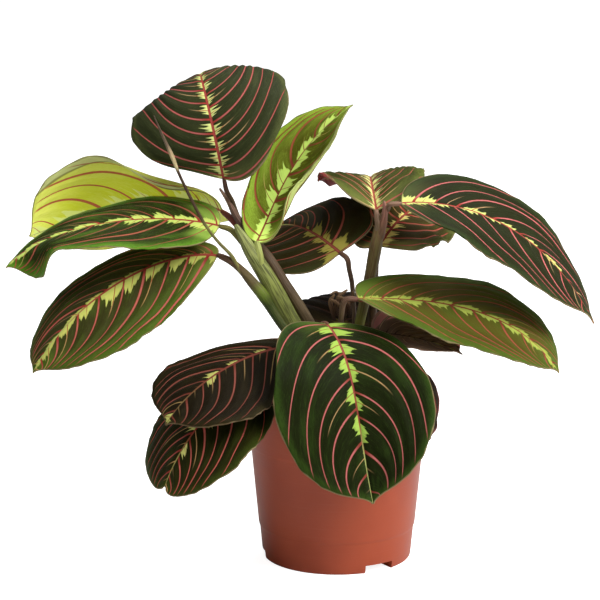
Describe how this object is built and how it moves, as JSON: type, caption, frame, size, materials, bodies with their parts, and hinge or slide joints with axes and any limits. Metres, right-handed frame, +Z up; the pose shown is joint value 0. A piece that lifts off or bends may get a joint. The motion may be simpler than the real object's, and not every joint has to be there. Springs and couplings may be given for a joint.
{
  "type": "potted prayer plant",
  "caption": "Prayer plant with oval, red-veined leaves on low branching shoots, growing in a round plastic nursery pot filled with potting mix.",
  "frame": {"origin": "centre of the pot's flat base, on the surface it stands on", "axes": "+Z up along the pot's axis; -Y is the front of the plant; the plant spreads widest along X"},
  "size_m": [0.3595, 0.2175, 0.3042],
  "materials": {
    "pot": "satin",
    "mix": "matte",
    "shoot": "satin",
    "stalk": "satin",
    "leaf_dark": "satin",
    "leaf_lime": "satin"
  },
  "bodies": {
    "root": {"pot": "pot", "potting_mix": "mix", "shoot_left": "shoot", "shoot_right": "shoot", "stalk_back_centre": "stalk", "stalk_right_arching": "stalk", "stalk_front": "stalk", "stalk_low_left_upper": "stalk", "stalk_low_left_lower": "stalk", "stalk_shaded_right": "stalk", "stalk_behind_front": "stalk", "stalk_shaded_back": "stalk", "blade_top": "leaf_dark", "blade_lime_upright": "leaf_lime", "blade_lime_left": "leaf_lime", "blade_left_long": "leaf_dark", "blade_left_drooping": "leaf_dark", "blade_low_left_upper": "leaf_dark", "blade_low_left_lower": "leaf_dark", "blade_back_centre": "leaf_dark", "blade_back_right": "leaf_dark", "blade_front": "leaf_dark", "blade_small_back": "leaf_dark", "blade_right_long": "leaf_dark", "blade_right_arching": "leaf_dark", "blade_shaded_right": "leaf_dark", "blade_shaded_back": "leaf_dark", "blade_behind_front": "leaf_dark"}
  },
  "joints": []
}
